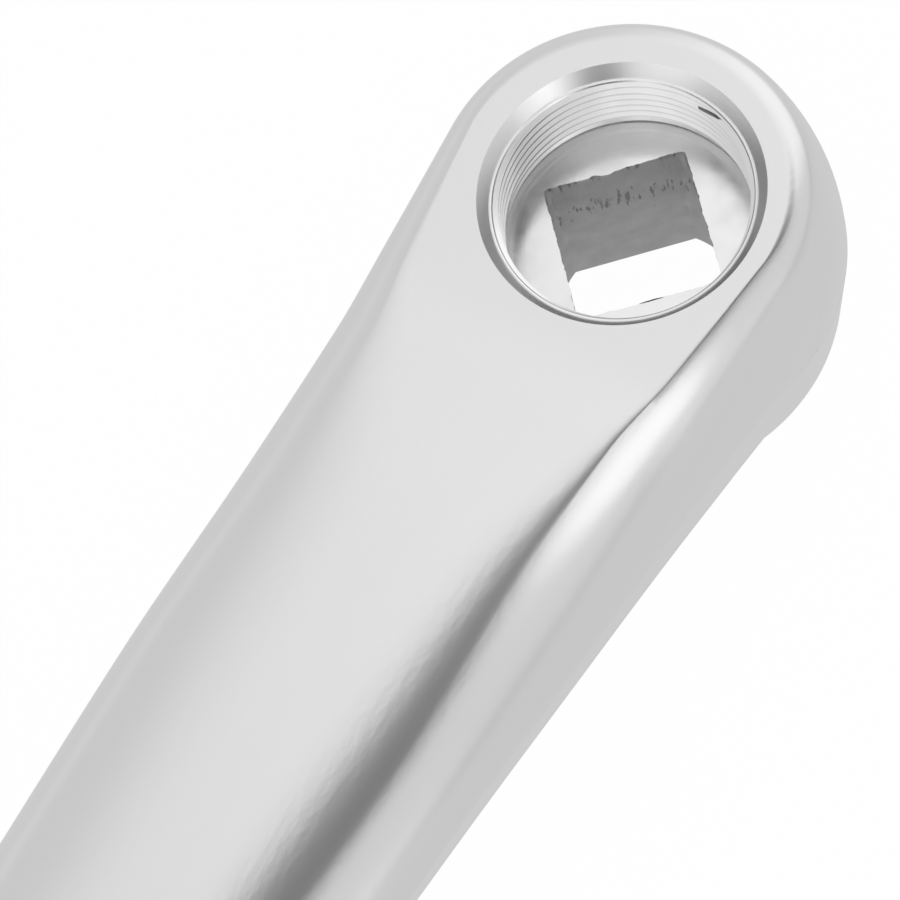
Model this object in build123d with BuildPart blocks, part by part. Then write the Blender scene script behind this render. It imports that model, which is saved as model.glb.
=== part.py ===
"""Left crank arm of a bicycle, forged in one piece from aluminium.

The arm lies with its outer face up. The origin is on the spindle axis, in the
boss's inner face, where the spindle enters. +Z points away from the bicycle's
frame and +X runs along the arm to the pedal. Sizes are in millimetres.
"""
import os
from bisect import bisect_right
from math import cos, radians, sin, tan

from build123d import *

# Arm and its two ends. The forging sits a little to one side of the spindle
# axis, so the land beside the recess is thinner towards +Y
crank_length = 170.0
boss_height = 26.0
boss_wall = 6.1
forging_shift = 0.4
eye_radius = 14.2
eye_height = 13.0
eye_offset = 8.0
eye_land = 0.4

# Threaded recess for the extractor, from its wall out to its mouth
thread_radius = 10.46
thread_lead_in = 0.49
ledge_width = 0.35
mouth_cone_inset = 0.7
mouth_cone_depth = 1.2
thread_end_depth = 7.3
relief_groove = 0.5
recess_depth = 8.0
ledge_end = thread_radius + thread_lead_in
cone_end = ledge_end + ledge_width
mouth_radius = cone_end + mouth_cone_inset
boss_radius = mouth_radius + boss_wall

# Tapered square socket for the spindle, its corners cut by a round bore
socket_across_flats = 12.5
socket_taper = 2.0
socket_corner_radius = 8.65
socket_turn = 45.0
socket_lead_in = 0.5

# Pedal hole, drilled for a 9/16 inch thread
pedal_hole_radius = 6.46
pedal_lead_in = 0.7

# Forging: how far each round turns and the lean of the walls below the parting
# line, in degrees, and the least half width of flat left between the edges
edge_turn = 26.0
shoulder_turn = 72.0
lower_draft = 7.0
face_flat = 0.4
back_round = 4.0
boss_back_round = 6.0
eye_back_round = 2.0

# Rounds from the face to the parting line: edge, shoulder and wall
boss_rounds = (0.5, 4.5, 33.0)
eye_rounds = (1.5, 2.5, 6.0)

# Arm sections at chosen places along the arm, as shares of its length. The
# narrowing is from the boss's radius to the half width. The crown is how much
# further in than its round the edge starts to fall. The rise of the face is a
# share of the eye's offset.
places = (0.0, 0.035, 0.075, 0.12, 0.20, 0.31, 0.45, 0.65, 0.85, 1.0)
narrowings = (0.0, 0.45, 0.9, 1.3, 1.7, 2.3, 3.3, 4.6, 5.3, 5.6)
edge_rounds = (boss_rounds[0], 0.5, 0.5, 2.2, 8.4, 12.2, 13.2, 12.5, 11.0, 10.0)
crowns = (0.0, 0.1, 0.6, 2.5, 5.0, 4.2, 3.2, 3.0, 3.0, 3.0)
shoulder_rounds = (boss_rounds[1], 5.5, 7.3, 10.2, 9.8, 8.5, 8.8, 7.5, 6.5, 6.0)
wall_rounds = (boss_rounds[2], 27.5, 21.0, 15.5, 9.0, 5.2, 4.0, 4.2, 4.0, 4.0)
thicknesses = (22.2, 21.3, 20.2, 18.9, 16.8, 14.6, 12.9, 12.2, 12.0, 12.0)
face_rises = (0.0, 0.0, 0.01, 0.08, 0.24, 0.43, 0.625, 0.82, 0.96, 1.0)
loft_spans = 14


def at_place(values, share):
    """Value at a share of the arm's length, on a smooth curve with no overshoot."""
    spans = [b - a for a, b in zip(places, places[1:])]
    steps = [(b - a) / span for a, b, span in zip(values, values[1:], spans)]
    slopes = [steps[0]]
    for before, after in zip(steps, steps[1:]):
        slopes.append(2 * before * after / (before + after) if before * after > 0 else 0.0)
    slopes.append(steps[-1])
    k = min(bisect_right(places, share), len(spans)) - 1
    t = (share - places[k]) / spans[k]
    start = (1 + 2 * t) * (1 - t) ** 2 * values[k] + t * (1 - t) ** 2 * spans[k] * slopes[k]
    end = t**2 * (3 - 2 * t) * values[k + 1] - t**2 * (1 - t) * spans[k] * slopes[k + 1]
    return start + end


def side_points(half_width, rounds, crown, thickness, bottom_round):
    """Corners of one side of a section, from its face down, and mid points of its arcs."""
    edge, shoulder, wall = rounds
    crease_turn = radians(edge_turn)
    wall_turn = radians(shoulder_turn)
    arcs = ((shoulder, crease_turn, wall_turn), (wall, wall_turn, radians(90)))
    leg = edge * tan(crease_turn / 2)
    y = half_width - sum(r * (sin(b) - sin(a)) for r, a, b in arcs)
    z = -leg * sin(crease_turn)
    corner_y = y - leg * cos(crease_turn)
    face_y = max(corner_y - leg - crown, face_flat)
    points = [(face_y, 0.0), (corner_y, 0.0), (y, z)]
    for r, a, b in arcs:
        for turn in ((a + b) / 2, b):
            points.append((y + r * (sin(turn) - sin(a)), z + r * (cos(turn) - cos(a))))
        y, z = points[-1]
    draft = radians(lower_draft)
    wall_end_z = bottom_round * (1 - sin(draft)) - thickness
    wall_end_y = half_width - (z - wall_end_z) * tan(draft)
    back_y = wall_end_y - bottom_round * cos(draft)
    middle = draft + (radians(90) - draft) / 2
    points.append((wall_end_y, wall_end_z))
    points.append((back_y + bottom_round * cos(middle), bottom_round * (1 - sin(middle)) - thickness))
    points.append((back_y, -thickness))
    return points


def draw_side(points, side):
    """Draw one side of a section, side being 1 or -1, from its face to its back."""
    face, corner, crease, flank_mid, shoulder, wall_mid, widest, wall_end, back_mid, back = [
        (side * y, z) for y, z in points
    ]
    Bezier(face, corner, crease)
    ThreePointArc(crease, flank_mid, shoulder)
    ThreePointArc(shoulder, wall_mid, widest)
    Line(widest, wall_end)
    ThreePointArc(wall_end, back_mid, back)


def section_plane(x, y, z):
    """Plane across the arm, its own x being the part's Y and its y the part's Z."""
    return Plane(origin=(x, y, z), x_dir=(0, 1, 0), z_dir=(1, 0, 0))


boss_side = side_points(boss_radius, boss_rounds, crowns[0], boss_height, boss_back_round)
eye_side = side_points(eye_radius, eye_rounds, 0.0, eye_height, eye_back_round)
eye_face = boss_height + eye_offset + eye_land
socket_depth = boss_height - recess_depth
socket_mouth = socket_across_flats + 2 * socket_depth * tan(radians(socket_taper))
boss_plane = section_plane(0, -forging_shift, boss_height)
boss_axis = Axis((0, -forging_shift, 0), (0, 0, 1))

with BuildPart() as crank_arm:
    # Arm, lofted through its sections from the spindle to the pedal
    for span in range(loft_spans + 1):
        share = span / loft_spans
        height = boss_height + at_place(face_rises, share) * eye_offset
        rounds = [at_place(r, share) for r in (edge_rounds, shoulder_rounds, wall_rounds)]
        half_width = boss_radius - at_place(narrowings, share)
        crown, thickness = at_place(crowns, share), at_place(thicknesses, share)
        side = side_points(half_width, rounds, crown, thickness, back_round)
        face_y, (back_y, back_z) = side[0][0], side[-1]
        shift = forging_shift * (1 - share)
        with BuildSketch(section_plane(share * crank_length, -shift, height)):
            with BuildLine():
                Line((-face_y, 0), (face_y, 0))
                draw_side(side, 1)
                Line((back_y, back_z), (-back_y, back_z))
                draw_side(side, -1)
            make_face()
    loft()

    # Boss: half a turn away from the arm, and a full turn below the arm
    with BuildSketch(boss_plane):
        with BuildLine():
            Line((0, 0), boss_side[0])
            draw_side(boss_side, 1)
            Line(boss_side[-1], (0, -boss_height))
            Line((0, -boss_height), (0, 0))
        make_face()
    revolve(axis=boss_axis, revolution_arc=180)

    parting_z = boss_side[6][1]
    with BuildSketch(boss_plane):
        with BuildLine():
            Line((0, parting_z), boss_side[6])
            Line(boss_side[6], boss_side[7])
            ThreePointArc(*boss_side[7:])
            Line(boss_side[-1], (0, -boss_height))
            Line((0, -boss_height), (0, parting_z))
        make_face()
    revolve(axis=boss_axis)

    # Pedal eye
    with BuildSketch(section_plane(crank_length, 0, eye_face)):
        with BuildLine():
            Line((0, 0), eye_side[0])
            draw_side(eye_side, 1)
            Line(eye_side[-1], (0, -eye_height))
            Line((0, -eye_height), (0, 0))
        make_face()
    revolve(axis=Axis((crank_length, 0, 0), (0, 0, 1)))

    # Recess: cone, ledge, threaded wall, relief groove and flat floor
    lead_in_end = mouth_cone_depth + thread_lead_in
    relief_radius = thread_radius + relief_groove
    with BuildSketch(section_plane(0, 0, boss_height)):
        with BuildLine():
            Polyline(
                (0, 0),
                (mouth_radius, 0),
                (cone_end, -mouth_cone_depth),
                (ledge_end, -mouth_cone_depth),
                (thread_radius, -lead_in_end),
                (thread_radius, -thread_end_depth),
                (relief_radius, -thread_end_depth),
                (relief_radius, -recess_depth),
                (0, -recess_depth),
                close=True,
            )
        make_face()
    revolve(axis=Axis.Z, mode=Mode.SUBTRACT)

# Socket: a tapered square whose corners stop at a round bore
with BuildPart() as socket:
    with BuildSketch(Plane.XY):
        Rectangle(socket_mouth, socket_mouth, rotation=socket_turn)
    with BuildSketch(Plane.XY.offset(socket_depth)):
        Rectangle(socket_across_flats, socket_across_flats, rotation=socket_turn)
    loft()
    with BuildSketch(Plane.XY):
        Circle(socket_corner_radius)
    extrude(amount=socket_depth, mode=Mode.INTERSECT)

with crank_arm:
    add(socket.part, mode=Mode.SUBTRACT)
    Cone(
        socket_corner_radius + socket_lead_in,
        socket_corner_radius,
        socket_lead_in,
        align=(Align.CENTER, Align.CENTER, Align.MIN),
        mode=Mode.SUBTRACT,
    )

    # Pedal hole, straight through the eye, opened a little at both faces
    with Locations((crank_length, 0, eye_face)):
        Hole(pedal_hole_radius)
    pedal_walls = crank_arm.faces().filter_by(GeomType.CYLINDER).sort_by(Axis.X)
    chamfer(pedal_walls[-1].edges().filter_by(GeomType.CIRCLE), length=pedal_lead_in)

crank_arm.part.label = "crank_arm"

os.makedirs("parts", exist_ok=True)
export_step(crank_arm.part, "parts/crank_arm.step")
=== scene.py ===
"""Looks of a left bicycle crank arm: forged aluminium with a cut thread and a broached socket."""
import math

import bmesh
import bpy
import numpy as np
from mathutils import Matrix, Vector


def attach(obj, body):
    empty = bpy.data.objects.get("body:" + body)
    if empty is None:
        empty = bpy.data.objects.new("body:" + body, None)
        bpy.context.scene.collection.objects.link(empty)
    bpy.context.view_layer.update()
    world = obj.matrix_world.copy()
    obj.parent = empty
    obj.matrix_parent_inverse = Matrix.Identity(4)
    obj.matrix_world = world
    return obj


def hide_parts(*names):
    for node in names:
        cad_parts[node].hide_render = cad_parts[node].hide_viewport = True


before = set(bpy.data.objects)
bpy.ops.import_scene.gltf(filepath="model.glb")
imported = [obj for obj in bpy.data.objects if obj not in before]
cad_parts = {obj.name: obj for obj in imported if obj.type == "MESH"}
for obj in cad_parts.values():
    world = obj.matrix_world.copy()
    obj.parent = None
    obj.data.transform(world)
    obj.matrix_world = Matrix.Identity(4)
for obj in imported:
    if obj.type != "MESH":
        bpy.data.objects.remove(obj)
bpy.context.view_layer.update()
MM = 0.001

# Sizes of the arm, in millimetres, as in the solid
CRANK_LENGTH = 170.0
BOSS_HEIGHT = 26.0
BOSS_RADIUS = 18.1
FORGING_SHIFT = 0.4
EYE_RADIUS = 14.2
EYE_HEIGHT = 13.0
EYE_OFFSET = 8.0
EYE_LAND = 0.4
MOUTH_RADIUS = 12.0
CONE_DEPTH = 1.2
LEDGE_END_RADIUS = 10.95
THREAD_CREST_RADIUS = 10.46
THREAD_END_DEPTH = 7.3
RECESS_DEPTH = 8.0
RECESS_FLOOR = BOSS_HEIGHT - RECESS_DEPTH
SOCKET_ACROSS_FLATS = 12.5
SOCKET_TAPER = math.radians(2)
SOCKET_CORNER_RADIUS = 8.65
SOCKET_LEAD_IN = 0.5
PEDAL_HOLE_RADIUS = 6.46
PEDAL_LEAD_IN = 0.7

# Forging rounds, as in the solid; a set of three is edge, shoulder and wall
EDGE_TURN = math.radians(26)
SHOULDER_TURN = math.radians(72)
LOWER_DRAFT = math.radians(7)
BACK_ROUND = 4.0
BOSS_BACK_ROUND = 6.0
EYE_BACK_ROUND = 2.0
BOSS_ROUNDS = (0.5, 4.5, 33.0)
EYE_ROUNDS = (1.5, 2.5, 6.0)

# Rounds at the boss's far edge, worn softer than in the solid
WORN_BOSS_ROUNDS = (2.4, 3.0, 33.0)

# Sections along the arm, at shares of its length. The third and fourth shoulder
# rounds are smaller than in the solid, which brings the crease nearer the rim there
PLACES = (0.0, 0.035, 0.075, 0.12, 0.20, 0.31, 0.45, 0.65, 0.85, 1.0)
NARROWINGS = (0.0, 0.45, 0.9, 1.3, 1.7, 2.3, 3.3, 4.6, 5.3, 5.6)
EDGE_ROUNDS = (0.5, 0.5, 0.5, 2.2, 8.4, 12.2, 13.2, 12.5, 11.0, 10.0)
CROWNS = (0.0, 0.1, 0.6, 2.5, 5.0, 4.2, 3.2, 3.0, 3.0, 3.0)
SHOULDER_ROUNDS = (4.5, 5.5, 7.0, 9.0, 9.8, 8.5, 8.8, 7.5, 6.5, 6.0)
WALL_ROUNDS = (33.0, 27.5, 21.0, 15.5, 9.0, 5.2, 4.0, 4.2, 4.0, 4.0)
THICKNESSES = (22.2, 21.3, 20.2, 18.9, 16.8, 14.6, 12.9, 12.2, 12.0, 12.0)
FACE_RISES = (0.0, 0.0, 0.01, 0.08, 0.24, 0.43, 0.625, 0.82, 0.96, 1.0)

# Spacing of the mesh's sections in millimetres: closer up to the far start, where
# the arm's shape changes fast
NEAR_SPACING = 0.8
FAR_SPACING = 1.6
FAR_START = 60.8

# Steps along a section's edge, shoulder, wall round, wall and back round, then
# across half of its face and of its back
SIDE_STEPS = (14, 10, 8, 5, 8)
BOSS_RIM_STEPS = (14, 10, 8, 8, 12)
FACE_STEPS = 6
BACK_STEPS = 4

# Steps round the boss's far half, and round what is turned
BOSS_COLUMNS = 72
TURNED_SEGMENTS = 192
RECESS_SEGMENTS = 288

# How far the boss's lower part stands proud of the arm, and reaches up and in
# inside it, in millimetres
RIM_PROUD = 0.01
RIM_OVERLAP = 1.5
RIM_INSET = 0.6

# Recess, in millimetres. The cone is a little wider than in the solid, so the
# ledge is narrower. Its edges are broken, its inner edge worn to a lip
WORN_CONE_END_RADIUS = 11.15
MOUTH_BREAK_WIDTH = 0.05
MOUTH_BREAK_DEPTH = 0.04
CONE_LIFT = 0.05
LEDGE_BREAK_WIDTH = 0.05
LEDGE_BREAK_DEPTH = 0.03
LIP_WIDTH = 0.12
LIP_DEPTH = 0.15
THREAD_START = 0.5
FLOOR_CORNER = 0.25
FINE_STEP = 0.02
CUTTER_OVERREACH = 3.0
PEDAL_OVERREACH = 1.0

# Thread, in millimetres: the ridge is sunk a little into the wall and ends just
# above the relief. Its base and crest are shares of the pitch, and it fades out
# over a share of its length at each end
THREAD_ROOT_RADIUS = 10.98
THREAD_PITCH = 1.0
THREAD_TURNS = 5.7
THREAD_RUN_OUT = 0.2
RIDGE_SINK = 0.01
RIDGE_BASE = 0.875
RIDGE_CREST = 0.22
RIDGE_FADE = 0.06
RIDGE_END_SIZE = 0.05
RIDGE_POINTS_PER_TURN = 120

# Turn in degrees that points the ridge's crest at the spindle axis
RIDGE_TURN = -90

# Mesh of the socket cutter, in millimetres: a low ring below the inner face, the
# wall's rings from a height up to a distance below the recess's floor, closer rings
# from below the floor to just past it at the torn edge, how far the cutter reaches
# past the floor, and the points along each side
SOCKET_LOW_RING = -0.4
SOCKET_WALL_RINGS = 34
SOCKET_WALL_START = 0.9
SOCKET_WALL_STOP = 1.6
SOCKET_EDGE_RINGS = 16
SOCKET_EDGE_START = 1.4
SOCKET_EDGE_OVERREACH = 0.1
SOCKET_OVERREACH = 2.0
SOCKET_SIDE_POINTS = 56

# Wear of the socket's wall, in millimetres: draw marks along the broach's travel
# and tears at the recess's floor. One side's edge is worn back, and a nub of metal
# is pushed in over the edge opposite. Sides are counted from the one that faces
# 45 degrees between the pedal and +Y
DRAW_MARK_DEPTH = 0.012
COARSE_TEAR_DEPTH = 0.10
FINE_TEAR_DEPTH = 0.05
TORN_EDGE_HEIGHT = 0.35
WORN_SIDE = 0
SOCKET_EDGE_WEAR = 0.2
NUB_SIDE = 2
NUB_DEPTH = 0.22
NUB_PLACE = 0.4
NUB_WIDTH = 0.8

# Burrs left by the tap and the broach, in millimetres. Their tips keep a share of
# their size, and the power sets how full they are between
BURR_TIP = 0.06
BURR_FULLNESS = 0.6
THREAD_BURR_RADIUS = 10.70
THREAD_BURR_HALF_THICKNESS = 0.18
THREAD_BURR_RAGGEDNESS = 0.05
THREAD_BURR_STEPS = 12
SOCKET_BURR_START = -0.97
SOCKET_BURR_END = 1.11
SOCKET_BURR_HALF_WIDTH = 0.05
SOCKET_BURR_HALF_THICKNESS = 0.06
SOCKET_BURR_RAGGEDNESS = 0.03
SOCKET_BURR_STEPS = 8

# Rows of tears in the broached wall: height above the boss's inner face and reach
# to either side, in millimetres
TEAR_ROWS = ((12.2, 2.2), (17.9, 0.9))

# Distances under which points are one, in metres, for a new mesh and for a cut one
NEW_MERGE = 1e-7
CUT_MERGE = 2e-6

# Where the surface turns by more than this its edge is sharp, and how strongly
# large faces draw the normals of the rest to their own
SHARP_ANGLE = math.radians(22)
FACE_WEIGHT = 80

# White paper: its width in millimetres, the level that the metal mirrors, against
# white, and the share of its look that doesn't depend on the light
PAPER_WIDTH = 440
PAPER_MIRRORED_LEVEL = 0.75
PAPER_OWN_SHARE = 0.985

# Studio levels that change smoothly along one axis of the direction looked in: the
# axis, where the change starts and ends, and the levels before and after it
STUDIO_RAMPS = {
    "tent": ("Y", -0.2, 0.2, 0.744, 0.80),
    "panel": ("X", -0.55, 0.05, 1.17, 0.965),
    "panel near side": ("Y", -0.72, -0.12, 0.0, 1.0),
    "panel far side": ("Y", 0.30, 0.42, 1.0, 0.0),
    "below": ("Y", -0.3, 0.3, 0.89, 0.50),
    "above the table": ("Z", -0.03, 0.02, 0.0, 1.0),
}

# Soft oval patches of the studio: centre, half size, softness of the edge, level
STUDIO_PATCHES = (
    # The dark gap beside the panel
    ((-0.245, 0.285, 0.93), (0.36, 0.36, 0.5), 0.12, 0.15),
    # The window at the tent's far side
    ((0.22, 0.97, 0.05), (0.34, 0.20, 0.30), 0.2, 1.25),
    # The window beyond the pedal end
    ((0.98, -0.05, 0.05), (0.25, 0.30, 0.30), 0.3, 1.15),
    # The dark doorway between the windows
    ((0.78, 0.62, 0.0), (0.27, 0.27, 0.40), 0.15, 0.18),
)

# Small lamp beside the boss: its place, what it points at, its width and height in
# millimetres, and the level that its power is worked out from
NEAR_LAMP_PLACE = (14.0, 32.0, 45.0)
NEAR_LAMP_AIM = (24.0, 13.0, 25.0)
NEAR_LAMP_SIZE = (32.0, 16.0)
NEAR_LAMP_LEVEL = 0.44

# Camera as fitted to the photo: lens and sensor width, place in millimetres, turn
# in degrees
CAMERA_LENS = 146.23
CAMERA_SENSOR = 36
CAMERA_PLACE = (99.86, 95.65, 293.45)
CAMERA_TURN = (22.695, 9.068, 121.883)


def at_place(values, share):
    """Value at a share of the arm's length, on a smooth curve with no overshoot."""
    spans = [b - a for a, b in zip(PLACES, PLACES[1:])]
    steps = [(b - a) / span for a, b, span in zip(values, values[1:], spans)]
    slopes = [steps[0]]
    for before, after in zip(steps, steps[1:]):
        slopes.append(2 * before * after / (before + after) if before * after > 0 else 0.0)
    slopes.append(steps[-1])
    k = min(max(i for i, p in enumerate(PLACES) if p <= share), len(spans) - 1)
    t = (share - PLACES[k]) / spans[k]
    start = (1 + 2 * t) * (1 - t) ** 2 * values[k] + t * (1 - t) ** 2 * spans[k] * slopes[k]
    end = t**2 * (3 - 2 * t) * values[k + 1] - t**2 * (1 - t) * spans[k] * slopes[k + 1]
    return start + end


def side_outline(half_width, rounds, crown, thickness, bottom_round, steps=SIDE_STEPS):
    """One side of a section from the face's edge to the back's edge, as (y, z) below the face."""
    edge, shoulder, wall = rounds
    edge_steps, shoulder_steps, round_steps, wall_steps, back_steps = steps
    arcs = (
        (shoulder, EDGE_TURN, SHOULDER_TURN, shoulder_steps),
        (wall, SHOULDER_TURN, math.pi / 2, round_steps),
    )
    crease_y = half_width - sum(r * (math.sin(b) - math.sin(a)) for r, a, b, _ in arcs)
    leg = edge * math.tan(EDGE_TURN / 2)
    corner_y = crease_y - leg * math.cos(EDGE_TURN)
    face_y = corner_y - leg - crown
    crease_z = -leg * math.sin(EDGE_TURN)
    points = [(face_y, 0.0)]
    for i in range(1, edge_steps + 1):
        s = i / edge_steps
        y = face_y * (1 - s) ** 2 + corner_y * 2 * s * (1 - s) + crease_y * s**2
        points.append((y, crease_z * s**2))
    for r, a, b, n in arcs:
        y0, z0 = points[-1]
        for i in range(1, n + 1):
            turn = a + (b - a) * i / n
            y = y0 + r * (math.sin(turn) - math.sin(a))
            points.append((y, z0 + r * (math.cos(turn) - math.cos(a))))
    y0, z0 = points[-1]
    wall_z = bottom_round * (1 - math.sin(LOWER_DRAFT)) - thickness
    wall_y = half_width - (z0 - wall_z) * math.tan(LOWER_DRAFT)
    for i in range(1, wall_steps + 1):
        s = i / wall_steps
        points.append((y0 + (wall_y - y0) * s, z0 + (wall_z - z0) * s))
    back_y = wall_y - bottom_round * math.cos(LOWER_DRAFT)
    for i in range(1, back_steps + 1):
        turn = LOWER_DRAFT + (math.pi / 2 - LOWER_DRAFT) * i / back_steps
        y = back_y + bottom_round * math.cos(turn)
        points.append((y, bottom_round * (1 - math.sin(turn)) - thickness))
    return points


def half_section(side):
    """Half a section, from the middle of its face round one side to the middle of its back."""
    face_y = side[0][0]
    back_y, back_z = side[-1]
    face = [(face_y * s / FACE_STEPS, 0.0) for s in range(FACE_STEPS)]
    back = [(back_y * (1 - s / BACK_STEPS), back_z) for s in range(1, BACK_STEPS + 1)]
    return face + side + back


def arm_section(share):
    """Half the arm's section at a share of its length."""
    half_width = BOSS_RADIUS - at_place(NARROWINGS, share)
    rounds = [at_place(r, share) for r in (EDGE_ROUNDS, SHOULDER_ROUNDS, WALL_ROUNDS)]
    crown, thickness = at_place(CROWNS, share), at_place(THICKNESSES, share)
    return half_section(side_outline(half_width, rounds, crown, thickness, BACK_ROUND))


def boss_section(worn):
    """Half the boss's section above the parting line, its edge worn by a share."""
    rounds = [a + (b - a) * worn for a, b in zip(BOSS_ROUNDS, WORN_BOSS_ROUNDS)]
    return half_section(side_outline(BOSS_RADIUS, rounds, 0.0, THICKNESSES[0], BACK_ROUND))


def add_points(points, more):
    """Adds points to a list and returns their numbers in it."""
    start = len(points)
    points.extend(more)
    return list(range(start, len(points)))


def ring_faces(rings):
    """Quads between rings of equal length; each ring closes on itself."""
    faces = []
    for a, b in zip(rings, rings[1:]):
        for i in range(len(a)):
            j = (i + 1) % len(a)
            faces.append((a[i], a[j], b[j], b[i]))
    return faces


def closed_mesh(name, points, faces, material):
    """A mesh object from points in millimetres, with its doubles merged and its normals outward."""
    mesh = bpy.data.meshes.new(name)
    mesh.from_pydata([(x * MM, y * MM, z * MM) for x, y, z in points], [], faces)
    build = bmesh.new()
    build.from_mesh(mesh)
    bmesh.ops.remove_doubles(build, verts=build.verts, dist=NEW_MERGE)
    bmesh.ops.recalc_face_normals(build, faces=build.faces)
    build.to_mesh(mesh)
    build.free()
    mesh.materials.append(material)
    obj = bpy.data.objects.new(name, mesh)
    bpy.context.scene.collection.objects.link(obj)
    return obj


def section_stations():
    """Places of the mesh's sections along the arm, in millimetres."""
    near_count = round(FAR_START / NEAR_SPACING)
    far_count = math.ceil((CRANK_LENGTH - FAR_START) / FAR_SPACING)
    near = [i * NEAR_SPACING for i in range(near_count)]
    far = [FAR_START + i * FAR_SPACING for i in range(far_count)]
    return near + far + [CRANK_LENGTH]


def arm_blank(material):
    """The forged arm and the upper part of its boss, as one closed skin."""
    points, rings, columns = [], [], []
    for x in section_stations():
        share = x / CRANK_LENGTH
        half = arm_section(share)
        shift = FORGING_SHIFT * (1 - share)
        height = BOSS_HEIGHT + EYE_OFFSET * at_place(FACE_RISES, share)
        right = [(x, y - shift, height + z) for y, z in half]
        left = [(x, -y - shift, height + z) for y, z in half[-2:0:-1]]
        rings.append(add_points(points, right + left))
    faces = ring_faces(rings)
    faces.append(tuple(rings[-1]))

    # Round the far half of the boss, from one side of the first section to the
    # other. Its edge wears softer over the first quarter from either side, and the
    # wear sets in at a slope, so that the crease runs on from the arm's
    quarter = BOSS_COLUMNS / 4
    for i in range(BOSS_COLUMNS + 1):
        turn = math.pi / 2 + math.pi * i / BOSS_COLUMNS
        worn = min(1.0, i / quarter, (BOSS_COLUMNS - i) / quarter)
        column = [
            (r * math.cos(turn), r * math.sin(turn) - FORGING_SHIFT, BOSS_HEIGHT + z)
            for r, z in boss_section(worn * (2 - worn))
        ]
        columns.append(add_points(points, column))
    for a, b in zip(columns, columns[1:]):
        for i in range(len(a) - 1):
            faces.append((a[i], b[i], b[i + 1], a[i + 1]))
    return closed_mesh("crank_arm", points, faces, material)


def turned(name, profile, centre, material, segments=TURNED_SEGMENTS):
    """A closed solid turned about an upright axis; the profile is (radius, height)."""
    points, rings = [], []
    turns = [2 * math.pi * i / segments for i in range(segments)]
    for r, z in profile:
        if r == 0:
            rings.append(add_points(points, [(centre[0], centre[1], z)]) * segments)
        else:
            ring = [(centre[0] + r * math.cos(a), centre[1] + r * math.sin(a), z) for a in turns]
            rings.append(add_points(points, ring))

    # Next to the axis two corners of a quad are one point, so one of them is dropped
    faces = [tuple(dict.fromkeys(corners)) for corners in ring_faces(rings)]
    return closed_mesh(name, points, faces, material)


def boss_rim(material):
    """The boss's lower part, below the parting line."""
    side = side_outline(
        BOSS_RADIUS, BOSS_ROUNDS, 0.0, BOSS_HEIGHT, BOSS_BACK_ROUND, BOSS_RIM_STEPS
    )
    lower = [(r + RIM_PROUD, BOSS_HEIGHT + z) for r, z in side[sum(BOSS_RIM_STEPS[:3]):]]
    top_r, top_z = lower[0]
    inside = [(0.0, top_z + RIM_OVERLAP), (top_r - RIM_INSET, top_z + RIM_OVERLAP)]
    profile = inside + lower + [(0.0, lower[-1][1])]
    return turned("boss_rim", profile, (0, -FORGING_SHIFT), material)


def pedal_eye(material):
    """The round eye at the pedal end, which stands a little proud of the arm on both sides."""
    side = side_outline(EYE_RADIUS, EYE_ROUNDS, 0.0, EYE_HEIGHT, EYE_BACK_ROUND)
    top = BOSS_HEIGHT + EYE_OFFSET + EYE_LAND
    profile = [(0.0, top)] + [(r, top + z) for r, z in side] + [(0.0, top - EYE_HEIGHT)]
    return turned("pedal_eye", profile, (CRANK_LENGTH, 0), material)


def mouth_cutter(material):
    """The cone at the recess's mouth, with its outer edge just broken."""
    above = BOSS_HEIGHT + CUTTER_OVERREACH
    rim_radius = MOUTH_RADIUS + MOUTH_BREAK_WIDTH
    cone_end = BOSS_HEIGHT - CONE_DEPTH + CONE_LIFT
    profile = [
        (0.0, above),
        (rim_radius, above),
        (rim_radius, BOSS_HEIGHT + FINE_STEP),
        (MOUTH_RADIUS, BOSS_HEIGHT - MOUTH_BREAK_DEPTH),
        (WORN_CONE_END_RADIUS + FINE_STEP, cone_end),
        (0.0, cone_end),
    ]
    return turned("mouth_cutter", profile, (0, 0), material, RECESS_SEGMENTS)


def recess_cutter(material):
    """The turned recess: ledge, wall at the thread's root, relief step and floor."""
    above = BOSS_HEIGHT + CUTTER_OVERREACH
    ledge = BOSS_HEIGHT - CONE_DEPTH
    cone_side = WORN_CONE_END_RADIUS - FINE_STEP
    profile = [
        (0.0, above),
        (cone_side, above),
        (cone_side, ledge + LEDGE_BREAK_DEPTH),
        (WORN_CONE_END_RADIUS - LEDGE_BREAK_WIDTH, ledge),
        (LEDGE_END_RADIUS, ledge - FINE_STEP),
        (THREAD_ROOT_RADIUS - LIP_WIDTH, ledge - LIP_DEPTH),
        (THREAD_ROOT_RADIUS, ledge - THREAD_START),
        (THREAD_ROOT_RADIUS, BOSS_HEIGHT - THREAD_END_DEPTH),
        (THREAD_ROOT_RADIUS - FINE_STEP, RECESS_FLOOR + FLOOR_CORNER),
        (THREAD_ROOT_RADIUS - FLOOR_CORNER, RECESS_FLOOR),
        (0.0, RECESS_FLOOR),
    ]
    return turned("recess_cutter", profile, (0, 0), material, RECESS_SEGMENTS)


def pedal_cutter(material):
    """The straight pedal hole, opened a little at both faces."""
    top = BOSS_HEIGHT + EYE_OFFSET + EYE_LAND
    low = top - EYE_HEIGHT
    wide = PEDAL_HOLE_RADIUS + PEDAL_LEAD_IN + PEDAL_OVERREACH
    profile = [
        (0.0, low - PEDAL_OVERREACH),
        (wide, low - PEDAL_OVERREACH),
        (PEDAL_HOLE_RADIUS, low + PEDAL_LEAD_IN),
        (PEDAL_HOLE_RADIUS, top - PEDAL_LEAD_IN),
        (wide, top + PEDAL_OVERREACH),
        (0.0, top + PEDAL_OVERREACH),
    ]
    return turned("pedal_cutter", profile, (CRANK_LENGTH, 0), material)


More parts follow.
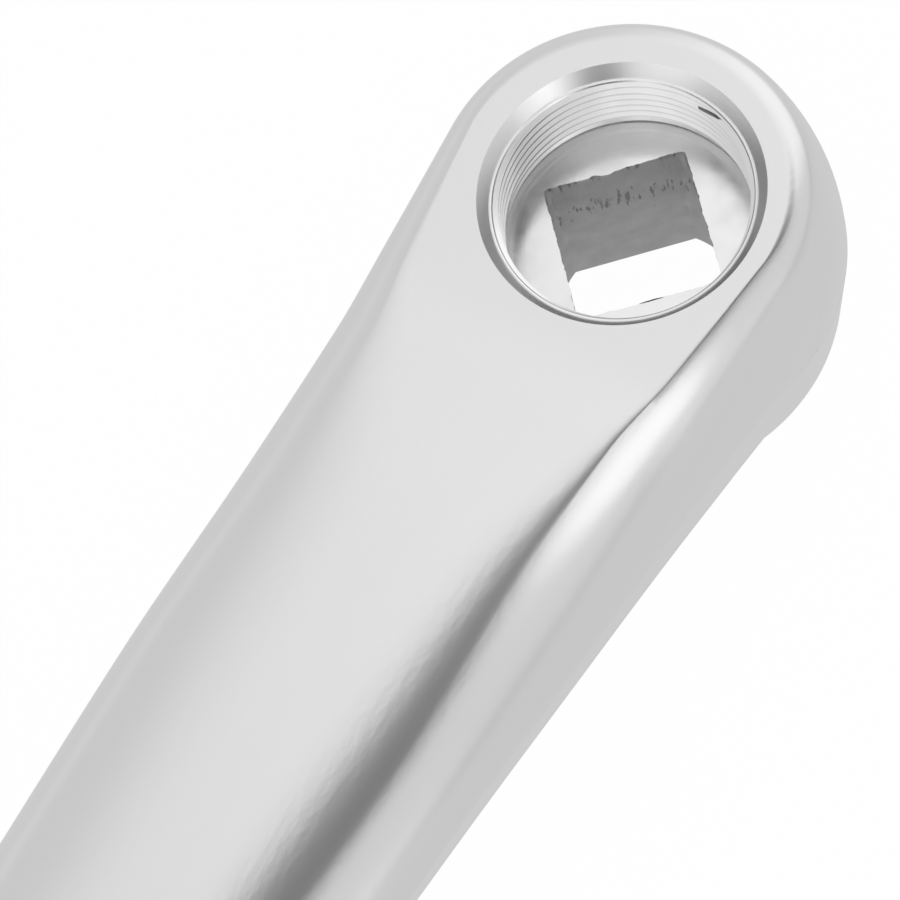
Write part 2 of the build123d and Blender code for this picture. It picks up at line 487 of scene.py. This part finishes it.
def hash_noise(u, v, seed):
    """Repeatable smooth noise on a plane, from -1 to 1."""
    def corner(i, j):
        n = np.sin(i * 127.1 + j * 311.7 + seed * 74.7) * 43758.5453
        return 2 * (n - np.floor(n)) - 1

    iu, iv = np.floor(u), np.floor(v)
    fu, fv = u - iu, v - iv
    fu, fv = fu * fu * (3 - 2 * fu), fv * fv * (3 - 2 * fv)
    low = corner(iu, iv) * (1 - fu) + corner(iu + 1, iv) * fu
    high = corner(iu, iv + 1) * (1 - fu) + corner(iu + 1, iv + 1) * fu
    return low * (1 - fv) + high * fv


def socket_wear(side, along, z):
    """How far the socket's wall is worn back, at a place along one side and a height."""
    edge = math.exp(-((RECESS_FLOOR - z) / TORN_EDGE_HEIGHT) ** 2)
    wear = DRAW_MARK_DEPTH * hash_noise(along * 3.1, z * 0.35, seed=3 + side)
    wear += COARSE_TEAR_DEPTH * edge * hash_noise(along * 1.7, 0.5, seed=11 + side)
    wear += FINE_TEAR_DEPTH * edge * hash_noise(along * 5.3, 2.5, seed=17 + side)
    if side == NUB_SIDE:
        wear -= NUB_DEPTH * edge * math.exp(-((along - NUB_PLACE) / NUB_WIDTH) ** 2)
    if side == WORN_SIDE:
        wear += SOCKET_EDGE_WEAR * edge
    return wear


def socket_cutter(material):
    """The broached square: tapered, its corners cut by the round bore, its walls a little torn."""
    heights = [-CUTTER_OVERREACH, SOCKET_LOW_RING, 0.0, SOCKET_LEAD_IN / 2, SOCKET_LEAD_IN]
    heights += list(
        np.linspace(SOCKET_WALL_START, RECESS_FLOOR - SOCKET_WALL_STOP, SOCKET_WALL_RINGS)
    )
    edge_start = RECESS_FLOOR - SOCKET_EDGE_START
    heights += list(
        np.linspace(edge_start, RECESS_FLOOR + SOCKET_EDGE_OVERREACH, SOCKET_EDGE_RINGS)
    )
    heights.append(RECESS_FLOOR + SOCKET_OVERREACH)
    points, rings = [], []
    for z in heights:
        below = RECESS_FLOOR - min(max(z, 0.0), RECESS_FLOOR)
        half = SOCKET_ACROSS_FLATS / 2 + below * math.tan(SOCKET_TAPER)
        corner = SOCKET_CORNER_RADIUS + max(0.0, SOCKET_LEAD_IN - max(z, 0.0))
        ring = []
        for side in range(4):
            for i in range(SOCKET_SIDE_POINTS):
                turn = -math.pi / 4 + math.pi / 2 * (i + 0.5) / SOCKET_SIDE_POINTS
                r = half / math.cos(turn)
                if r < corner and z > SOCKET_LEAD_IN:
                    r += socket_wear(side, half * math.tan(turn), z)
                r = min(r, corner)
                a = turn + side * math.pi / 2 + math.pi / 4
                ring.append((r * math.cos(a), r * math.sin(a), z))
        rings.append(add_points(points, ring))
    faces = ring_faces(rings)
    faces += [tuple(rings[0]), tuple(rings[-1])]
    return closed_mesh("socket_cutter", points, faces, material)


def burr(name, path, half_width, half_thickness, material):
    """A torn sliver of metal standing along a path, tapering to a point at both ends."""
    points, rings = [], []
    for i, (x, y, z) in enumerate(path):
        bulge = max(BURR_TIP, math.sin(math.pi * i / (len(path) - 1))) ** BURR_FULLNESS
        reach = math.hypot(x, y)
        out_x = x / reach * half_thickness * bulge
        out_y = y / reach * half_thickness * bulge
        rings.append(add_points(points, [
            (x, y, z - half_width * bulge),
            (x + out_x, y + out_y, z),
            (x, y, z + half_width * bulge),
            (x - out_x, y - out_y, z),
        ]))
    faces = ring_faces(rings) + [tuple(rings[0]), tuple(rings[-1])]
    return closed_mesh(name, points, faces, material)


def thread_burr(name, turns, heights, half_width, material):
    """A sliver torn out of the thread between two directions, in degrees, and two heights."""
    path = []
    for i in range(THREAD_BURR_STEPS + 1):
        turn = math.radians(turns[0] + (turns[1] - turns[0]) * i / THREAD_BURR_STEPS)
        ragged = THREAD_BURR_RAGGEDNESS * hash_noise(i * 0.7, 0.5, seed=23)
        height = heights[0] + (heights[1] - heights[0]) * i / THREAD_BURR_STEPS + ragged
        path.append(
            (THREAD_BURR_RADIUS * math.cos(turn), THREAD_BURR_RADIUS * math.sin(turn), height)
        )
    return burr(name, path, half_width, THREAD_BURR_HALF_THICKNESS, material)


def socket_burr(material):
    """The sliver turned up along the socket's worn edge."""
    path = []
    for i in range(SOCKET_BURR_STEPS + 1):
        along = SOCKET_BURR_START + (SOCKET_BURR_END - SOCKET_BURR_START) * i / SOCKET_BURR_STEPS
        ragged = SOCKET_BURR_RAGGEDNESS * hash_noise(i * 0.9, 0.5, seed=29)
        out = SOCKET_ACROSS_FLATS / 2 + SOCKET_EDGE_WEAR + ragged
        x, y = (out - along) * math.sqrt(0.5), (out + along) * math.sqrt(0.5)
        path.append((x, y, RECESS_FLOOR + FINE_STEP))
    return burr("socket_burr", path, SOCKET_BURR_HALF_WIDTH, SOCKET_BURR_HALF_THICKNESS, material)


def keep_evaluated(obj):
    """Turns the evaluated object into its own plain mesh and drops its modifiers."""
    graph = bpy.context.evaluated_depsgraph_get()
    graph.update()
    result = bpy.data.meshes.new_from_object(obj.evaluated_get(graph), depsgraph=graph)
    obj.modifiers.clear()
    obj.data = result


def cut_or_join(obj, other, operation):
    """Boolean with another object, which is then deleted."""
    step = obj.modifiers.new("step", "BOOLEAN")
    step.operation = operation
    step.solver = "EXACT"
    step.object = other
    step.material_mode = "TRANSFER"
    keep_evaluated(obj)
    bpy.data.objects.remove(other)


def mark_sharp(obj):
    """Smooth faces, with sharp edges where the surface turns by more than the sharp angle."""
    build = bmesh.new()
    build.from_mesh(obj.data)
    bmesh.ops.remove_doubles(build, verts=build.verts, dist=CUT_MERGE)
    bmesh.ops.recalc_face_normals(build, faces=build.faces)
    for edge in build.edges:
        edge.smooth = edge.calc_face_angle(math.pi) < SHARP_ANGLE
    for face in build.faces:
        face.smooth = True
    build.to_mesh(obj.data)
    build.free()


def linear(hex_code):
    """sRGB hex to linear colour with alpha."""
    out = []
    for i in (0, 2, 4):
        c = int(hex_code[i:i + 2], 16) / 255
        out.append(c / 12.92 if c <= 0.04045 else ((c + 0.055) / 1.055) ** 2.4)
    return (*out, 1.0)


def add_node(tree, kind, settings=None, links=None, values=None):
    """Adds a node with its settings, its sockets' values and its incoming links."""
    node = tree.nodes.new(kind)
    for key, value in (settings or {}).items():
        setattr(node, key, value)
    for key, value in (values or {}).items():
        node.inputs[key].default_value = value
    for key, source in (links or {}).items():
        tree.links.new(source, node.inputs[key])
    return node


def metal(name, colour, roughness):
    """A bare metal with one colour and roughness; returns its material and its shader."""
    material = bpy.data.materials.new(name)
    material.use_nodes = True
    shader = material.node_tree.nodes["Principled BSDF"]
    shader.inputs["Base Color"].default_value = linear(colour)
    shader.inputs["Metallic"].default_value = 1.0
    shader.inputs["Roughness"].default_value = roughness
    return material, shader


def satin_forged_aluminium():
    """Forged aluminium, polished along the arm and clear anodised.

    A soft satin that blurs what it mirrors. The polishing leaves waves about 0.8 mm
    wide and 1.8 mm long, which mottle the dark band, and a grain of about 0.15 mm.
    """
    wave_width, wave_depth, wave_stretch = 0.8 * MM, 0.012 * MM, 0.45
    grain_width, grain_depth, grain_strength = 0.15 * MM, 0.02 * MM, 0.06
    material, shader = metal("satin forged aluminium", "E4E4E4", 0.28)
    tree = material.node_tree
    place = add_node(tree, "ShaderNodeTexCoord").outputs["Object"]
    stretch = add_node(tree, "ShaderNodeMapping", links={"Vector": place},
                       values={"Scale": (wave_stretch, 1.0, 1.0)})
    waves = add_node(tree, "ShaderNodeTexNoise", links={"Vector": stretch.outputs["Vector"]},
                     values={"Scale": 1 / wave_width, "Detail": 2.0})
    wave_bump = add_node(tree, "ShaderNodeBump", links={"Height": waves.outputs["Fac"]},
                         values={"Strength": 1.0, "Distance": wave_depth})
    grain = add_node(tree, "ShaderNodeTexNoise", links={"Vector": place},
                     values={"Scale": 1 / grain_width, "Detail": 2.0})
    bump = add_node(tree, "ShaderNodeBump",
                    links={"Height": grain.outputs["Fac"], "Normal": wave_bump.outputs["Normal"]},
                    values={"Strength": grain_strength, "Distance": grain_depth})
    tree.links.new(bump.outputs["Normal"], shader.inputs["Normal"])
    return material


def chamfered_aluminium():
    """The cone at the mouth, bright but cut with a duller tool.

    It blurs the walls of the recess that it mirrors more than the thread does.
    """
    return metal("chamfered aluminium", "E8E8E8", 0.30)[0]


def burr_aluminium_painted_shade():
    """Rough burr metal whose dark grey is painted shade, standing in for the shade on the burrs' faces."""
    return metal("burr aluminium, painted shade", "8A8A8A", 0.6)[0]


def lathe_turned_aluminium():
    """Turned aluminium, bright from the lathe tool.

    Rings 0.12 mm apart about the spindle axis, and patches about 2.5 mm wide that are
    duller where the tool chattered.
    """
    ring_spacing, ring_depth, ring_strength = 0.12 * MM, 0.01 * MM, 0.25
    patch_width = 2.5 * MM
    bright_roughness, dull_roughness = 0.17, 0.27
    material, shader = metal("lathe-turned aluminium", "EBEBEB", 0.20)
    tree = material.node_tree
    place = add_node(tree, "ShaderNodeTexCoord").outputs["Object"]
    axes = add_node(tree, "ShaderNodeSeparateXYZ", links={"Vector": place}).outputs
    flat_place = add_node(tree, "ShaderNodeCombineXYZ", links={"X": axes["X"], "Y": axes["Y"]})
    radius = add_node(tree, "ShaderNodeVectorMath", {"operation": "LENGTH"},
                      {0: flat_place.outputs["Vector"]})
    ring_place = add_node(tree, "ShaderNodeCombineXYZ",
                          links={"X": radius.outputs["Value"], "Z": axes["Z"]})
    rings = add_node(tree, "ShaderNodeTexNoise", links={"Vector": ring_place.outputs["Vector"]},
                     values={"Scale": 1 / ring_spacing, "Detail": 2.0})
    patches = add_node(tree, "ShaderNodeTexNoise", links={"Vector": place},
                       values={"Scale": 1 / patch_width, "Detail": 3.0})
    bump = add_node(tree, "ShaderNodeBump", links={"Height": rings.outputs["Fac"]},
                    values={"Strength": ring_strength, "Distance": ring_depth})
    tree.links.new(bump.outputs["Normal"], shader.inputs["Normal"])
    gloss = add_node(tree, "ShaderNodeMapRange", links={"Value": patches.outputs["Fac"]},
                     values={"From Min": 0.35, "From Max": 0.65,
                             "To Min": bright_roughness, "To Max": dull_roughness})
    tree.links.new(gloss.outputs["Result"], shader.inputs["Roughness"])
    return material


def broached_aluminium():
    """Broached aluminium, dragged along the spindle axis, so duller and darker.

    It has a mottle of about 2 mm. Rows of small tears run across the wall 6 mm below
    the recess's floor and along the floor's edge.
    """
    drag_width, drag_depth, drag_stretch, drag_strength = 0.4 * MM, 0.05 * MM, 0.22, 0.5
    mottle_width = 2.0 * MM
    material, shader = metal("broached aluminium", "A9A9A9", 0.45)
    tree = material.node_tree
    place = add_node(tree, "ShaderNodeTexCoord").outputs["Object"]
    stretch = add_node(tree, "ShaderNodeMapping", links={"Vector": place},
                       values={"Scale": (1.0, 1.0, drag_stretch)})
    drag = add_node(tree, "ShaderNodeTexNoise", links={"Vector": stretch.outputs["Vector"]},
                    values={"Scale": 1 / drag_width, "Detail": 2.0, "Roughness": 0.6})
    bump = add_node(tree, "ShaderNodeBump", links={"Height": drag.outputs["Fac"]},
                    values={"Strength": drag_strength, "Distance": drag_depth})
    tree.links.new(bump.outputs["Normal"], shader.inputs["Normal"])

    # How far a place is from the nearest row, as a share of the row's reach
    height = add_node(tree, "ShaderNodeSeparateXYZ", links={"Vector": place}).outputs["Z"]
    rows = []
    for row_height, reach in TEAR_ROWS:
        above = add_node(tree, "ShaderNodeMath", {"operation": "SUBTRACT"},
                         {0: height}, {1: row_height * MM})
        away = add_node(tree, "ShaderNodeMath", {"operation": "ABSOLUTE"}, {0: above.outputs[0]})
        share = add_node(tree, "ShaderNodeMath", {"operation": "DIVIDE"},
                         {0: away.outputs[0]}, {1: reach * MM})
        rows.append(share.outputs[0])
    nearest = add_node(tree, "ShaderNodeMath", {"operation": "MINIMUM"}, dict(enumerate(rows)))

    # The drag's low places are tears, and away from the rows fewer are low enough
    fewer = add_node(tree, "ShaderNodeMapRange", links={"Value": nearest.outputs[0]},
                     values={"From Min": 0.2, "From Max": 1.6, "To Min": 0.0, "To Max": 0.2})
    kept = add_node(tree, "ShaderNodeMath", {"operation": "ADD"},
                    {0: drag.outputs["Fac"], 1: fewer.outputs["Result"]})
    tears = add_node(tree, "ShaderNodeMapRange", {"interpolation_type": "SMOOTHSTEP"},
                     {"Value": kept.outputs[0]},
                     {"From Min": 0.36, "From Max": 0.50, "To Min": 1.0, "To Max": 0.0})
    mottle = add_node(tree, "ShaderNodeTexNoise", links={"Vector": place},
                      values={"Scale": 1 / mottle_width, "Detail": 2.0})
    wall_colour = add_node(tree, "ShaderNodeMix", {"data_type": "RGBA"},
                           {0: mottle.outputs["Fac"]},
                           {6: linear("9C9C9C"), 7: linear("B6B6B6")})
    torn_colour = add_node(tree, "ShaderNodeMix", {"data_type": "RGBA"},
                           {0: tears.outputs["Result"], 6: wall_colour.outputs[2]},
                           {7: linear("7A7A7A")})
    tree.links.new(torn_colour.outputs[2], shader.inputs["Base Color"])
    return material


def white_paper():
    """White paper, which the camera sees nearly white with a faint shadow.

    The metal mirrors it as a light grey.
    """
    material = bpy.data.materials.new("white paper")
    material.use_nodes = True
    tree = material.node_tree
    shader = tree.nodes["Principled BSDF"]
    shader.inputs["Base Color"].default_value = linear("F2F2F2")
    shader.inputs["Roughness"].default_value = 0.9
    rays = add_node(tree, "ShaderNodeLightPath").outputs
    level = add_node(tree, "ShaderNodeMix", {"data_type": "FLOAT"},
                     {0: rays["Is Glossy Ray"]}, {2: 1.0, 3: PAPER_MIRRORED_LEVEL})
    white = add_node(tree, "ShaderNodeEmission", links={"Strength": level.outputs[0]},
                     values={"Color": (1, 1, 1, 1)})
    seen = add_node(tree, "ShaderNodeMath", {"operation": "MAXIMUM"},
                    {0: rays["Is Camera Ray"], 1: rays["Is Glossy Ray"]})
    seen = add_node(tree, "ShaderNodeMath", {"operation": "MAXIMUM"},
                    {0: seen.outputs[0], 1: rays["Is Transmission Ray"]})
    share = add_node(tree, "ShaderNodeMath", {"operation": "MULTIPLY"},
                     {0: seen.outputs[0]}, {1: PAPER_OWN_SHARE})
    blend = add_node(tree, "ShaderNodeMixShader",
                     links={0: share.outputs[0], 1: shader.outputs["BSDF"],
                            2: white.outputs["Emission"]})
    tree.links.new(blend.outputs["Shader"], tree.nodes["Material Output"].inputs["Surface"])
    return material


def thread_tree():
    """Geometry nodes for an inside thread: one ridge swept along a helix, fading out at both ends."""
    tree = bpy.data.node_groups.new("inside thread", "GeometryNodeTree")
    sockets = {}
    for name, kind in (("Root radius", "NodeSocketFloat"), ("Crest radius", "NodeSocketFloat"),
                       ("Pitch", "NodeSocketFloat"), ("Turns", "NodeSocketFloat"),
                       ("Base height", "NodeSocketFloat"), ("Metal", "NodeSocketMaterial")):
        sockets[name] = tree.interface.new_socket(name, in_out="INPUT", socket_type=kind).identifier
    tree.interface.new_socket("Thread", in_out="OUTPUT", socket_type="NodeSocketGeometry")
    given = add_node(tree, "NodeGroupInput").outputs

    # The helix that the ridge follows
    rise = add_node(tree, "ShaderNodeMath", {"operation": "MULTIPLY"},
                    {0: given["Pitch"], 1: given["Turns"]})
    helix = add_node(tree, "GeometryNodeCurveSpiral",
                     links={"Rotations": given["Turns"], "Start Radius": given["Root radius"],
                            "End Radius": given["Root radius"], "Height": rise.outputs[0]},
                     values={"Resolution": RIDGE_POINTS_PER_TURN})
    upright = add_node(tree, "GeometryNodeSetCurveNormal", {"mode": "Z_UP"},
                       {"Curve": helix.outputs["Curve"]})

    # The ridge's profile, its base on the helix and its crest towards the axis
    depth = add_node(tree, "ShaderNodeMath", {"operation": "SUBTRACT"},
                     {0: given["Root radius"], 1: given["Crest radius"]})
    base = add_node(tree, "ShaderNodeMath", {"operation": "MULTIPLY"},
                    {0: given["Pitch"]}, {1: RIDGE_BASE})
    crest = add_node(tree, "ShaderNodeMath", {"operation": "MULTIPLY"},
                     {0: given["Pitch"]}, {1: RIDGE_CREST})
    ridge = add_node(tree, "GeometryNodeCurvePrimitiveQuadrilateral", {"mode": "TRAPEZOID"},
                     {"Height": depth.outputs[0], "Bottom Width": base.outputs[0],
                      "Top Width": crest.outputs[0]},
                     {"Offset": 0.0})
    half = add_node(tree, "ShaderNodeMath", {"operation": "MULTIPLY"}, {0: depth.outputs[0]}, {1: 0.5})
    lift = add_node(tree, "ShaderNodeCombineXYZ", links={"Y": half.outputs[0]})
    lifted = add_node(tree, "GeometryNodeTransform",
                      links={"Geometry": ridge.outputs["Curve"],
                             "Translation": lift.outputs["Vector"]})
    turned_in = add_node(tree, "GeometryNodeTransform", links={"Geometry": lifted.outputs["Geometry"]},
                         values={"Rotation": (0.0, 0.0, math.radians(RIDGE_TURN))})

    # Its size along the helix, which fades out towards both ends
    along = add_node(tree, "GeometryNodeSplineParameter").outputs["Factor"]
    back = add_node(tree, "ShaderNodeMath", {"operation": "SUBTRACT"}, {1: along}, {0: 1.0})
    nearer = add_node(tree, "ShaderNodeMath", {"operation": "MINIMUM"},
                      {0: along, 1: back.outputs[0]})
    fade = add_node(tree, "ShaderNodeMapRange", links={"Value": nearer.outputs[0]},
                    values={"From Min": 0.0, "From Max": RIDGE_FADE,
                            "To Min": RIDGE_END_SIZE, "To Max": 1.0})
    swept = add_node(tree, "GeometryNodeCurveToMesh",
                     links={"Curve": upright.outputs["Curve"],
                            "Profile Curve": turned_in.outputs["Geometry"],
                            "Scale": fade.outputs["Result"]},
                     values={"Fill Caps": True})
    up = add_node(tree, "ShaderNodeCombineXYZ", links={"Z": given["Base height"]})
    placed = add_node(tree, "GeometryNodeTransform",
                      links={"Geometry": swept.outputs["Mesh"],
                             "Translation": up.outputs["Vector"]})
    real = add_node(tree, "GeometryNodeRealizeInstances",
                    links={"Geometry": placed.outputs["Geometry"]})
    dressed = add_node(tree, "GeometryNodeSetMaterial",
                       links={"Geometry": real.outputs["Geometry"], "Material": given["Metal"]})
    add_node(tree, "NodeGroupOutput", links={"Thread": dressed.outputs["Geometry"]})
    return tree, sockets


def cut_thread(material):
    """The extractor thread as one plain mesh."""
    holder = bpy.data.objects.new("extractor_thread", bpy.data.meshes.new("extractor_thread"))
    bpy.context.scene.collection.objects.link(holder)
    tree, sockets = thread_tree()
    sweep = holder.modifiers.new("thread", "NODES")
    sweep.node_group = tree
    sweep[sockets["Root radius"]] = (THREAD_ROOT_RADIUS + RIDGE_SINK) * MM
    sweep[sockets["Crest radius"]] = THREAD_CREST_RADIUS * MM
    sweep[sockets["Pitch"]] = THREAD_PITCH * MM
    sweep[sockets["Turns"]] = THREAD_TURNS
    sweep[sockets["Base height"]] = (BOSS_HEIGHT - THREAD_END_DEPTH + THREAD_RUN_OUT) * MM
    sweep[sockets["Metal"]] = material
    keep_evaluated(holder)
    return holder


def paper_floor():
    """A sheet of white paper under the arm."""
    bpy.ops.mesh.primitive_plane_add(size=PAPER_WIDTH * MM, location=(0, 0, 0))
    sheet = bpy.context.object
    sheet.name = "floor"
    sheet.data.materials.append(white_paper())
    return sheet


def studio_world():
    """A light grey tent with a bright panel overhead, a dark gap, two windows and a doorway."""
    world = bpy.data.worlds.new("studio")
    bpy.context.scene.world = world
    world.use_nodes = True
    tree = world.node_tree
    toward = add_node(tree, "ShaderNodeTexCoord").outputs["Generated"]
    axes = add_node(tree, "ShaderNodeSeparateXYZ", links={"Vector": toward}).outputs

    ramps = {}
    for name, (axis, start, end, low, high) in STUDIO_RAMPS.items():
        ramp = add_node(tree, "ShaderNodeMapRange", {"interpolation_type": "SMOOTHSTEP"},
                        {"Value": axes[axis]},
                        {"From Min": start, "From Max": end, "To Min": low, "To Max": high})
        ramps[name] = ramp.outputs["Result"]
    panel_share = add_node(tree, "ShaderNodeMath", {"operation": "MULTIPLY"},
                           {0: ramps["panel near side"], 1: ramps["panel far side"]}).outputs[0]
    level = add_node(tree, "ShaderNodeMix", {"data_type": "FLOAT"},
                     {0: panel_share, 2: ramps["tent"], 3: ramps["panel"]}).outputs[0]
    level = add_node(tree, "ShaderNodeMix", {"data_type": "FLOAT"},
                     {0: ramps["above the table"], 2: ramps["below"], 3: level}).outputs[0]

    for centre, half_size, edge, patch_level in STUDIO_PATCHES:
        moved = add_node(tree, "ShaderNodeVectorMath", {"operation": "SUBTRACT"},
                         {0: toward}, {1: centre})
        sized = add_node(tree, "ShaderNodeVectorMath", {"operation": "DIVIDE"},
                         {0: moved.outputs["Vector"]}, {1: half_size})
        away = add_node(tree, "ShaderNodeVectorMath", {"operation": "LENGTH"},
                        {0: sized.outputs["Vector"]})
        share = add_node(tree, "ShaderNodeMapRange", {"interpolation_type": "SMOOTHSTEP"},
                         {"Value": away.outputs["Value"]},
                         {"From Min": 1 - edge, "From Max": 1 + edge, "To Min": 1.0, "To Max": 0.0})
        level = add_node(tree, "ShaderNodeMix", {"data_type": "FLOAT"},
                         {0: share.outputs["Result"], 2: level}, {3: patch_level}).outputs[0]

    # The camera sees plain white behind the floor
    rays = add_node(tree, "ShaderNodeLightPath").outputs
    level = add_node(tree, "ShaderNodeMix", {"data_type": "FLOAT"},
                     {0: rays["Is Camera Ray"], 2: level}, {3: 1.0}).outputs[0]
    tree.nodes["Background"].inputs["Color"].default_value = (1, 1, 1, 1)
    tree.links.new(level, tree.nodes["Background"].inputs["Strength"])


def near_lamp():
    """A small weak lamp beside the boss, which draws the bright streak along the crease."""
    data = bpy.data.lights.new("near_lamp", "AREA")
    data.shape = "ELLIPSE"
    data.size, data.size_y = NEAR_LAMP_SIZE[0] * MM, NEAR_LAMP_SIZE[1] * MM
    data.energy = NEAR_LAMP_LEVEL * math.pi * data.size * data.size_y
    lamp = bpy.data.objects.new("near_lamp", data)
    bpy.context.scene.collection.objects.link(lamp)
    lamp.location = Vector(NEAR_LAMP_PLACE) * MM
    aim = Vector(NEAR_LAMP_AIM) - Vector(NEAR_LAMP_PLACE)
    lamp.rotation_euler = aim.to_track_quat("-Z", "X").to_euler()
    lamp.visible_camera = False


def photo_camera():
    """The camera that took the photo, as fitted to the mouth, the thread and the square."""
    data = bpy.data.cameras.new("camera")
    data.lens = CAMERA_LENS
    data.sensor_width = CAMERA_SENSOR
    camera = bpy.data.objects.new("camera", data)
    bpy.context.scene.collection.objects.link(camera)
    camera.location = Vector(CAMERA_PLACE) * MM
    camera.rotation_euler = [math.radians(a) for a in CAMERA_TURN]
    bpy.context.scene.camera = camera


forged = satin_forged_aluminium()
chamfered = chamfered_aluminium()
# The burr metal's dark grey is painted shade
torn = burr_aluminium_painted_shade()
turned_metal = lathe_turned_aluminium()
broached = broached_aluminium()

# The forging, then what is machined in it
arm = arm_blank(forged)
cut_or_join(arm, boss_rim(forged), "UNION")
cut_or_join(arm, pedal_eye(forged), "UNION")
cut_or_join(arm, recess_cutter(turned_metal), "DIFFERENCE")
cut_or_join(arm, mouth_cutter(chamfered), "DIFFERENCE")
cut_or_join(arm, socket_cutter(broached), "DIFFERENCE")
cut_or_join(arm, pedal_cutter(turned_metal), "DIFFERENCE")
mark_sharp(arm)

# The thread and the burrs, joined to the arm as one piece
thread = cut_thread(turned_metal)
mark_sharp(thread)
small_parts = [
    thread,
    # The burrs are slivers of metal, dark with painted shade for the shade at the thread's first groove
    # and on the socket's lip
    thread_burr("long_burr", turns=(181.5, 163.0), heights=(23.3, 24.0), half_width=0.15, material=torn),
    thread_burr("short_burr", turns=(159.5, 155.5), heights=(23.05, 23.3), half_width=0.10, material=torn),
    socket_burr(torn),
]
with bpy.context.temp_override(active_object=arm, selected_editable_objects=[arm] + small_parts):
    bpy.ops.object.join()
arm.name = "forged_arm"
weighted = arm.modifiers.new("weighted", "WEIGHTED_NORMAL")
weighted.keep_sharp = True
weighted.weight = FACE_WEIGHT
keep_evaluated(arm)

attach(arm, "root")
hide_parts("crank_arm")

floor = paper_floor()

studio_world()
near_lamp()
photo_camera()
bpy.context.scene.view_settings.view_transform = "Standard"
